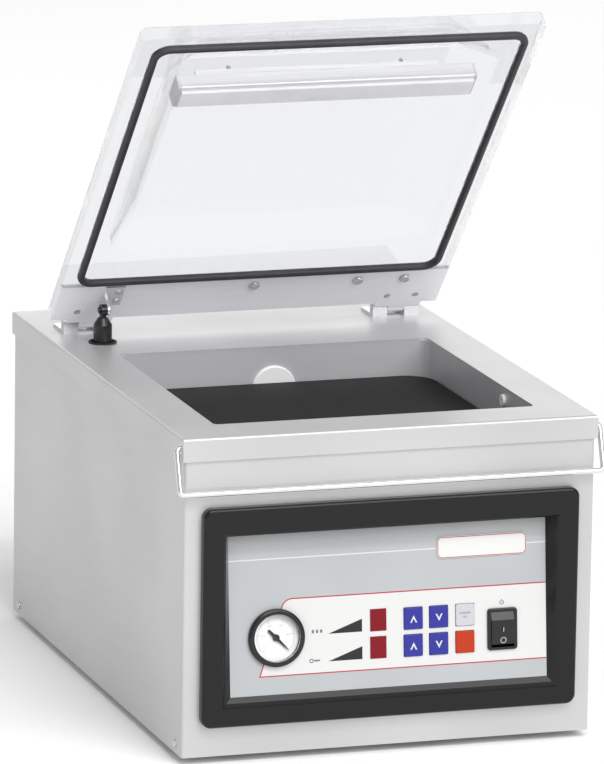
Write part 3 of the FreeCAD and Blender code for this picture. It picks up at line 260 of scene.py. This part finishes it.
def woven_release_tape():
    """Glass cloth soaked in PTFE: tan, slightly slippery, with its square weave showing."""
    thread_mm = 0.9
    material, tree, shader = surface("release_tape_cloth", "#a8906a", 0.42)
    place = add(tree, "TexCoord").outputs["Object"]
    threads = [add(tree, "TexWave", {"Vector": place, "Scale": 1 / (math.tau * thread_mm * MM)},
                   bands_direction=axis).outputs["Fac"] for axis in ("X", "Y")]
    weave = add(tree, "Math", {0: threads[0], 1: threads[1]}, operation="MULTIPLY").outputs[0]
    tree.links.new(tinted(tree, weave, "#94794f", "#b69d74"), shader.inputs["Base Color"])
    roughen(tree, shader, weave, 0.08, 0.8)
    return material


def circuit_laminate():
    """Green solder mask over copper tracks: semi-gloss, with lighter lines under the lacquer."""
    block_mm = 24
    material, tree, shader = surface("circuit_laminate", "#1f5a33", 0.3)
    place = add(tree, "TexCoord").outputs["Object"]
    tracks = add(tree, "TexBrick", {"Vector": place, "Scale": 1 / (block_mm * MM),
                                    "Color1": linear("#1d5530"), "Color2": linear("#226239"),
                                    "Mortar": linear("#3a8350")})
    tree.links.new(tracks.outputs["Color"], shader.inputs["Base Color"])
    return material


stainless = brushed_sheet("brushed_stainless_sheet", "#c0bfc0", "#c9c8c9", 0.34, 0.46, 0.45)
chamber_steel = brushed_sheet("chamber_stainless", "#bcbbbe", "#c8c7ca", 0.34, 0.46, 0.3,
                              depth=0.25)
port_steel = brushed_sheet("satin_port_steel", "#ececed", "#f2f2f3", 0.34, 0.44, 0.1, depth=0.3)
zinc = zinc_plate()
fitting = turned_stainless()
wire = polished_wire()
screw = screw_zinc()
acrylic = clear_acrylic("cast_acrylic", "#e6e8ec", 0.02, "#fdfdfd", 1.13, 0.5)
window = clear_acrylic("gauge_window_acrylic", "#fdfdfd", 0.02, "#fbfbfb", 1.2, 0.6)
silicone = two_tone("black_silicone", "#2b292c", "#343235", 0.55, 12.0, 0.5, 0.03)
pale_silicone = two_tone("grey_silicone", "#dadadd", "#e1e1e3", 0.6, 15.0, 0.5, 0.03)
bar_aluminium = anodised_extrusion("satin_anodised_bar", "#d2d2d5", "#dcdcde", 0.3, 0.42, 0.5)
rail_aluminium = anodised_extrusion("matt_anodised_rail", "#ececf1", "#f2f2f5", 0.42, 0.54, 0.1)
filler = two_tone("black_polyethylene_board", "#131214", "#191819", 0.62, 18.0, 0.9, 0.05,
                  Specular_IOR_Level=0.2)
abs_black = moulded("black_spark_textured_abs", "#0d0c0e", 0.22, 0.7, 0.008,
                    Specular_IOR_Level=0.35)
gloss_black = moulded("polished_black_abs", "#121113", 0.16, 2.5, 0.006, 0.04)
enamel_black = moulded("black_stove_enamel", "#161618", 0.3, 3.0, 0.012)
film = two_tone("silver_grey_polyester_film", "#a8abad", "#afb2b4", 0.4, 90.0, 0.5, 0.008)
white_ink = moulded("white_screen_ink", "#d2d2d1", 0.5, 0.6, 0.003)
red_ink = moulded("red_screen_ink", "#b02036", 0.5, 0.6, 0.003)
black_ink = moulded("black_screen_ink", "#141315", 0.45, 0.6, 0.003)
grey_ink = moulded("grey_screen_ink", "#6a6a6e", 0.5, 0.6, 0.003)
pale_ink = moulded("light_grey_screen_ink", "#9c9ca0", 0.5, 0.6, 0.003)
ruby = moulded("ruby_display_window", "#7a0c1a", 0.24, 3.0, 0.004, 0.04,
               Specular_IOR_Level=0.25)
blue = moulded("blue_moulded_key", "#22258c", 0.3, 1.8, 0.01)
pale_key = moulded("light_grey_moulded_key", "#bcbcc1", 0.32, 1.8, 0.01)
orange = moulded("orange_moulded_key", "#b2310a", 0.3, 1.8, 0.01, Specular_IOR_Level=0.3)
plate_white = moulded("white_lacquered_plate", "#dadad8", 0.22, 4.0, 0.006)
bar_board = two_tone("hard_anodised_bar", "#4a4a4d", "#56565a", 0.45, 20.0, 0.8, 0.01, Metallic=0.6)
nichrome = anodised_extrusion("nichrome_ribbon", "#9b958d", "#aaa49c", 0.25, 0.35)
release = woven_release_tape()
laminate = circuit_laminate()
laminations = core_laminations()
casting = cast_paint()
steel = machined_steel()
fan_plastic = moulded("black_fan_moulding", "#252527", 0.5, 0.8, 0.03)
brass = machined_brass()
rubber = two_tone("black_rubber", "#1c1c1d", "#242425", 0.7, 8.0, 0.7, 0.05)

FINISHES = [
    (stainless, "cabinet_wrap deck_top rear_panel"),
    (chamber_steel, "chamber_tub"),
    (port_steel, "suction_port_cover gauge_port"),
    (zinc, "base_plate spring_lower_bracket"),
    (fitting, "hinge_bases hinge_pins lift_rods lift_cylinders spring_lid_bracket gas_spring_rod"),
    (wire, "wire_bail"),
    (screw, "cabinet_screws lid_screws bail_bushes"),
    (acrylic, "lid_dome"),
    (window, "gauge_glass"),
    (silicone, "lid_gasket"),
    (pale_silicone, "counter_silicone"),
    (bar_aluminium, "counter_bar"),
    (rail_aluminium, "hinge_rail hinge_leaves"),
    (pale_key, "counter_end_caps key_grey"),
    (filler, "insert_plates"),
    (abs_black, "front_bezel mains_inlet"),
    (gloss_black, "gauge_case switch_frame switch_rocker"),
    (enamel_black, "gas_spring_cylinder gauge_needle"),
    (film, "control_fascia"),
    (white_ink, "gauge_dial"),
    (ruby, "display_windows"),
    (blue, "key_lower_down key_lower_up key_upper_down key_upper_up"),
    (orange, "key_orange"),
    (plate_white, "blank_badge"),
    (bar_board, "seal_bar"),
    (nichrome, "heating_wire"),
    (release, "release_tape"),
    (laminate, "control_board"),
    (laminations, "seal_transformer"),
    (casting, "motor_casing pump_cover pump_housing exhaust_filter"),
    (steel, "motor_shaft pump_rotor"),
    (fan_plastic, "cooling_fan"),
    (brass, "valve_block"),
    (rubber, "rubber_feet spring_grommet suction_hose"),
]
for finish, names in FINISHES:
    for name in names.split():
        nodes[name].data.materials.clear()
        nodes[name].data.materials.append(finish)


# ---------------------------------------------------------------- printed marks
# The fascia leans back. A mark is drawn flat, x across and h up the slope from the height of the
# gauge's centre, and a matrix then stands it on the leaning face.
INK = 0.12                  # how thick a printed mark or a laid-on label is, in mm
joints = {joint["name"]: joint for joint in frame["record"]["behaviour"]["joints"]}
gauge_centre = Vector(joints["gauge_needle_turn"]["pos_m"])
OUTWARD = Vector(joints["gauge_needle_turn"]["axis"]).normalized()
UPWARD = OUTWARD.cross(Vector((1, 0, 0)))
LEANING = Matrix(((1, 0, 0), tuple(UPWARD), tuple(OUTWARD))).transposed().to_4x4()
GAUGE_X = gauge_centre.x / MM


def on_face(proud_mm):
    """The matrix that puts a drawing this far in front of the fascia's face."""
    return Matrix.Translation((0, gauge_centre.y, gauge_centre.z)) @ Matrix.Translation(
        OUTWARD * proud_mm * MM) @ LEANING


def middle(node):
    """Where a node's middle is on the drawing: x and h in mm."""
    low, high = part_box(node)
    centre = (low + high) / 2
    return centre.x / MM, (centre - gauge_centre).dot(UPWARD) / MM


def proud(node):
    """How far a flat-faced node of the panel stands out of the fascia, in mm."""
    return max((v.co - gauge_centre).dot(OUTWARD) for v in nodes[node].data.vertices) / MM


def arc(cx, cz, radius, start, end, steps=6):
    """Points of an arc in degrees, measured from the right and turning upwards."""
    turns = [math.radians(start + (end - start) * i / steps) for i in range(steps + 1)]
    return [(cx + radius * math.cos(t), cz + radius * math.sin(t)) for t in turns]


def circle(cx, cz, radius, steps=28):
    return arc(cx, cz, radius, 0, 360, steps)[:-1]


def oblong(cx, cz, width, height, radius=0.0):
    """A rectangle's outline, with rounded corners if it has a radius."""
    x, z = width / 2 - radius, height / 2 - radius
    corners = ((x, z, 0), (-x, z, 90), (-x, -z, 180), (x, -z, 270))
    if radius == 0:
        return [(cx + a, cz + b) for a, b, _ in corners]
    return [p for a, b, t in corners for p in arc(cx + a, cz + b, radius, t, t + 90)]


def settle(holder, place, name, body, finish):
    """Turns a drawn curve or text into a mesh in its place, riding on its body."""
    scene.collection.objects.link(holder)
    bpy.context.view_layer.update()
    graph = bpy.context.evaluated_depsgraph_get()
    mesh = bpy.data.meshes.new_from_object(holder.evaluated_get(graph))
    bpy.data.objects.remove(holder)
    mesh.transform(place)
    mesh.materials.clear()
    mesh.materials.append(finish)
    piece = bpy.data.objects.new(name, mesh)
    scene.collection.objects.link(piece)
    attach(piece, body)


def printed(name, outlines, finish, base=0.0, body="cabinet", thick=INK, place=None):
    """A flat mark drawn as outlines in mm; an outline inside another is a hole in it. It lies on
    a face that stands base mm out of the fascia, or is laid out by the place matrix."""
    drawing = bpy.data.curves.new(name, "CURVE")
    drawing.dimensions = "2D"
    drawing.fill_mode = "BOTH"
    drawing.extrude = thick * MM / 2
    for outline in outlines:
        run = drawing.splines.new("POLY")
        run.points.add(len(outline) - 1)
        for point, (x, z) in zip(run.points, outline):
            point.co = (x * MM, z * MM, 0, 1)
        run.use_cyclic_u = True
    settle(bpy.data.objects.new(name, drawing), place or on_face(base + thick / 2), name, body,
           finish)


# sizes on the fascia in mm; a hole is as wide, as high and as round as what comes through it
KEY_NODES = ("key_upper_up", "key_upper_down", "key_lower_up", "key_lower_down", "key_grey",
             "key_orange")
KEY_HOLE = (15.6, 17.4, 1.0)
DISPLAY_HOLE = (13.2, 17.2)
DISPLAY_APART = 10.5        # each display's middle from the middle of both
SWITCH_HOLE = (23.6, 31.4, 2.4)
PANEL_EDGE = 126.4          # the bezel hides the fascia outside this
RULE_H = 60.2               # the thin line above the band
RULE_LINE = 0.9
FINE_INK = 0.05             # how thick the fine lines are
UNDER_INK = 0.06            # how thick the outline is, under the band's own ink
BAND_TOP = 28.5
BAND_LOW = -28.9
BAND_SLANT = ((-102.4, BAND_LOW), (-82.4, BAND_TOP))
BAND_CORNER = 8.0
OUTLINE = 0.9               # the red line round the band
RING_HOLE = 21.0            # the band stops under the gauge's ring

holes = [oblong(*middle(n), *KEY_HOLE) for n in KEY_NODES]
display_x, display_h = middle("display_windows")
holes += [oblong(display_x, display_h + side * DISPLAY_APART, *DISPLAY_HOLE) for side in (-1, 1)]
switch_x, switch_h = middle("switch_frame")
holes.append(oblong(switch_x, switch_h, *SWITCH_HOLE))


def band(grow):
    """The white band's outline, grown by so many mm. Its slanted end goes round the gauge."""
    (low_x, low_h), (top_x, top_h) = BAND_SLANT
    lean = math.atan2(top_h - low_h, top_x - low_x)
    along = Vector((math.cos(lean), math.sin(lean)))
    start = Vector((low_x - grow * math.sin(lean), low_h + grow * math.cos(lean)))
    to_gauge = start - Vector((GAUGE_X, 0))
    half_way = -to_gauge.dot(along)
    half_chord = math.sqrt(half_way ** 2 - to_gauge.length_squared + RING_HOLE ** 2)
    lower, upper = [to_gauge + along * (half_way + way * half_chord) for way in (-1, 1)]
    turn_low, turn_high = [math.degrees(math.atan2(p.y, p.x)) for p in (lower, upper)]
    corner = BAND_CORNER + grow
    end = start + along * ((top_h + grow - start.y) / along.y)
    setback = corner / math.tan((math.pi - lean) / 2)
    foot = start - along * ((start.y - low_h + grow) / along.y)
    return ([(PANEL_EDGE, low_h - grow), (PANEL_EDGE, top_h + grow)]
            + arc(end.x + setback, end.y - corner, corner, 90, 90 + math.degrees(lean), 8)
            + arc(GAUGE_X, 0, RING_HOLE, turn_high, turn_low, 24) + [tuple(foot)])


printed("fascia_band_outline", [band(OUTLINE)] + holes, red_ink, thick=UNDER_INK)
printed("fascia_band", [band(0)] + holes, white_ink)
printed("fascia_rule", [oblong(0, RULE_H, 2 * PANEL_EDGE, RULE_LINE)], white_ink,
        thick=FINE_INK)

# a wedge that rises towards each display stands for more time
WEDGE_TIP = -48.3
WEDGE_BACK = -21.4
WEDGE_RISE = 9.8
for row, h in (("upper", 0.3), ("lower", -20.8)):
    wedge = [(WEDGE_TIP, h), (WEDGE_BACK, h), (WEDGE_BACK, h + WEDGE_RISE)]
    printed("rising_wedge_" + row, [wedge], black_ink, INK)
# three short bars stand for heat in the upper row, and a ring with a pipe for vacuum in the lower
HEAT_X, HEAT_H, HEAT_STEP = -60.6, 2.7, 3.3
HEAT_BAR = (1.7, 2.8, 0.8)
VACUUM_X, VACUUM_H, VACUUM_RING = -62.0, -19.6, (1.7, 1.0)
PIPE_X, PIPE = -57.6, (4.6, 1.2)
for i in range(3):
    printed("heat_bar_%d" % (i + 1), [oblong(HEAT_X + i * HEAT_STEP, HEAT_H, *HEAT_BAR)],
            grey_ink, INK)
printed("vacuum_ring", [circle(VACUUM_X, VACUUM_H, radius) for radius in VACUUM_RING], grey_ink,
        INK)
printed("vacuum_bar", [oblong(PIPE_X, VACUUM_H, *PIPE)], grey_ink, INK)
# power mark over the switch: a broken ring with a bar in its gap
POWER_H = 15.8
POWER_OUTER, POWER_INNER = 1.8, 1.25
GAP_END, GAP_START = 125, 415       # degrees; the gap is at the top
POWER_BAR = (0.55, 2.2)
POWER_BAR_UP = 1.2          # from the ring's middle
ring = (arc(switch_x, POWER_H, POWER_OUTER, GAP_END, GAP_START, 20)
        + arc(switch_x, POWER_H, POWER_INNER, GAP_START, GAP_END, 20))
printed("power_mark_ring", [ring], grey_ink, INK)
printed("power_mark_bar", [oblong(switch_x, POWER_H + POWER_BAR_UP, *POWER_BAR)], grey_ink,
        INK)

# ---------------------------------------------------------------- marks on the keys
CHEVRON_HALF = 2.8
CHEVRON_RISE = 5.6
CHEVRON_LINE = 1.15
CHEVRON_DROP = 0.4          # a little under the key's middle
KEY_BARS = ((9.0, 1.6), (3.4, -1.4))    # each bar's width, and its height from the key's middle
KEY_BAR_LINE = 1.4
KEY_BAR_ROUND = 0.6
KEY_BAR_SHIFT = -0.2


def chevron(cx, cz, way):
    """An open arrowhead that points up (way 1) or down (way -1)."""
    h, r, t = CHEVRON_HALF, CHEVRON_RISE / 2, CHEVRON_LINE
    shape = [(-h, -r), (0, r), (h, -r), (h - t, -r), (0, r - 2.2 * t), (t - h, -r)]
    return [(cx + x, cz + way * z) for x, z in shape]


for key, way in (("upper_up", 1), ("upper_down", -1), ("lower_up", 1), ("lower_down", -1)):
    x, h = middle("key_" + key)
    printed("arrow_" + key, [chevron(x, h - CHEVRON_DROP, way)], white_ink,
            proud("key_" + key), "key_%s_cap" % key)
x, h = middle("key_grey")
for i, (width, above) in enumerate(KEY_BARS):
    printed("grey_key_bar_%d" % (i + 1),
            [oblong(x + KEY_BAR_SHIFT, h + above, width, KEY_BAR_LINE, KEY_BAR_ROUND)], pale_ink,
            proud("key_grey"), "key_grey_cap")

# ---------------------------------------------------------------- marks on the rocker switch
# the rocker's lower face is upright at rest, so its marks are stood up straight on it
rocker_low, rocker_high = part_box("switch_rocker")
ROCKER_FACE = Matrix.Translation((0, rocker_low.y - INK * MM / 2, 0)) @ Matrix.Rotation(
    math.radians(90), 4, "X")
ON_BAR = (0.8, 3.4)
OFF_RING = (2.5, 1.7)
ON_UP, OFF_DOWN = 0.4, 8.4  # the bar above the rocker's middle, and the ring below the bar
on_z = (rocker_low.z + rocker_high.z) / 2 / MM + ON_UP
off_z = on_z - OFF_DOWN
printed("rocker_on_mark", [oblong(switch_x, on_z, *ON_BAR)], pale_ink,
        body="rocker", place=ROCKER_FACE)
printed("rocker_off_mark", [circle(switch_x, off_z, radius) for radius in OFF_RING], pale_ink,
        body="rocker", place=ROCKER_FACE)

# ---------------------------------------------------------------- gauge scale
dial_face = proud("gauge_dial")
SCALE_START = 225.0         # degrees, at the lower left
SCALE_SWEEP = 270.0
SCALE_END = SCALE_START - SCALE_SWEEP
TICKS = 50
TICK_OUTER = 14.8
TICK_INNER = {10: 11.9, 5: 13.0, 1: 13.6}   # every tenth and every fifth tick is longer
TICK_HALF, LONG_TICK_HALF = 0.11, 0.22
ARC_OUTER, ARC_INNER = 15.1, 14.85
NUMBERS = 5                 # numbers after the zero
NUMBER_RADIUS = 9.9
NUMBER_SIZE = 2.7
NUMBER_HALF_THICK = 0.03
ticks = []
for i in range(TICKS + 1):
    turn = math.radians(SCALE_START - SCALE_SWEEP * i / TICKS)
    every = 10 if i % 10 == 0 else 5 if i % 5 == 0 else 1
    near, far = TICK_INNER[every], TICK_OUTER
    half = LONG_TICK_HALF if every == 10 else TICK_HALF
    out = Vector((math.cos(turn), math.sin(turn)))
    side = Vector((-math.sin(turn), math.cos(turn)))
    at = Vector((GAUGE_X, 0))
    ticks.append([tuple(at + out * a + side * b) for a, b in
                  ((near, -half), (far, -half), (far, half), (near, half))])
printed("gauge_ticks", ticks, pale_ink, dial_face, thick=FINE_INK)
printed("gauge_arc", [arc(GAUGE_X, 0, ARC_OUTER, SCALE_START, SCALE_END, 60)
                      + arc(GAUGE_X, 0, ARC_INNER, SCALE_END, SCALE_START, 60)],
        pale_ink, dial_face, thick=FINE_INK)
for i in range(NUMBERS + 1):
    turn = math.radians(SCALE_START - SCALE_SWEEP * i / NUMBERS)
    value = i * 100 // NUMBERS
    words = bpy.data.curves.new("gauge_number", "FONT")
    words.body = str(value)
    words.size = NUMBER_SIZE * MM
    words.extrude = NUMBER_HALF_THICK * MM
    words.align_x, words.align_y = "CENTER", "CENTER"
    shift = Matrix.Translation(((GAUGE_X + NUMBER_RADIUS * math.cos(turn)) * MM,
                                NUMBER_RADIUS * MM * math.sin(turn), 0))
    settle(bpy.data.objects.new("words", words), on_face(dial_face + NUMBER_HALF_THICK) @ shift,
           "gauge_number_%d" % value, "cabinet", pale_ink)

# ---------------------------------------------------------------- badge rim
badge_x, badge_h = middle("blank_badge")
RIM_OUTER, RIM_INNER = (71.0, 16.0, 3.6), (69.9, 14.9, 3.1)
RIM_INK = 0.08
printed("badge_rim", [oblong(badge_x, badge_h, *RIM_OUTER), oblong(badge_x, badge_h, *RIM_INNER)],
        red_ink, proud("blank_badge"), thick=RIM_INK)


# ---------------------------------------------------------------- studio
FLOOR_HALF = 14.0
FLOOR_GLOW = 0.04
AIR_STRENGTH = 0.56
WINDOW_ANGLE = 50           # degrees; the wider, the softer the shadows
LAMP_AIM = Vector((0, 0, 0.2))

# a broad light from the front right, low enough to shine in under the raised lid; a screen behind
# the machine that only its satin metal mirrors; a strip above the front for the bezel's edges
SUNS = [("front_window", (0.22, -0.76, 0.62), 1.9)]
SCREENS = [("rear_screen", (0.3, 3.0, 1.15), 17, (2.8, 1.6)),
           ("front_strip", (-0.2, -1.7, 2.2), 14, (1.2, 0.2))]
MIRRORED_ONLY = "rear_screen"

CAMERA_TURN, CAMERA_RISE, CAMERA_ROLL = -18.17, 12.64, 0.89     # degrees
CAMERA_AIM = Vector((0.01939, 0.04562, 0.22622))
CAMERA_AWAY = 5.754         # metres from what it aims at
LENS_MM = 343.13


def floor_and_air():
    """An almost white floor that runs far back, and an even white air that lights everything."""
    half = FLOOR_HALF
    corners = [(-half, -half, 0), (half, -half, 0), (half, half, 0), (-half, half, 0)]
    sheet = bpy.data.meshes.new("studio_floor")
    sheet.from_pydata(corners, [], [(0, 1, 2, 3)])
    floor = bpy.data.objects.new("studio_floor", sheet)
    scene.collection.objects.link(floor)
    floor.data.materials.append(
        two_tone("pale_studio_floor", "#fbfbfb", "#fdfdfd", 0.9, 900.0, 4.0, 0.0,
                 Emission_Color=linear("#ffffff"), Emission_Strength=FLOOR_GLOW))

    world = bpy.data.worlds.new("soft_studio_air")
    world.use_nodes = True
    air = world.node_tree.nodes["Background"].inputs
    air["Color"].default_value = linear("#ffffff")
    air["Strength"].default_value = AIR_STRENGTH
    scene.world = world


def hang(name, lamp, place, back, power):
    """Hangs a lamp at a place. Its back is turned along the vector back, and it shines the other
    way."""
    lamp.energy = power
    holder = bpy.data.objects.new(name, lamp)
    holder.location = place
    holder.visible_diffuse = holder.visible_transmission = name != MIRRORED_ONLY
    holder.rotation_euler = back.to_track_quat("Z", "Y").to_euler()
    scene.collection.objects.link(holder)


def lamps():
    for name, place, power in SUNS:
        lamp = bpy.data.lights.new(name, "SUN")
        lamp.angle = math.radians(WINDOW_ANGLE)
        hang(name, lamp, place, Vector(place), power)
    for name, place, power, (width, height) in SCREENS:
        lamp = bpy.data.lights.new(name, "AREA")
        lamp.shape = "RECTANGLE"
        lamp.size, lamp.size_y = width, height
        hang(name, lamp, place, Vector(place) - LAMP_AIM, power)


def camera():
    """A long lens from the front left, a little above the deck."""
    turn, rise, roll = [math.radians(a) for a in (CAMERA_TURN, CAMERA_RISE, CAMERA_ROLL)]
    back = Vector((math.sin(turn) * math.cos(rise), -math.cos(turn) * math.cos(rise),
                   math.sin(rise)))
    right = Vector((math.cos(turn), math.sin(turn), 0))
    up = back.cross(right)
    level_x = right * math.cos(roll) + up * math.sin(roll)
    level_y = up * math.cos(roll) - right * math.sin(roll)
    lens = bpy.data.cameras.new("studio_camera")
    lens.lens = LENS_MM
    lens.clip_end = 60
    holder = bpy.data.objects.new("studio_camera", lens)
    scene.collection.objects.link(holder)
    turned = Matrix((level_x, level_y, back)).transposed().to_4x4()
    holder.matrix_world = Matrix.Translation(CAMERA_AIM + back * CAMERA_AWAY) @ turned
    scene.camera = holder


floor_and_air()
lamps()
camera()
scene.view_settings.view_transform = "Standard"
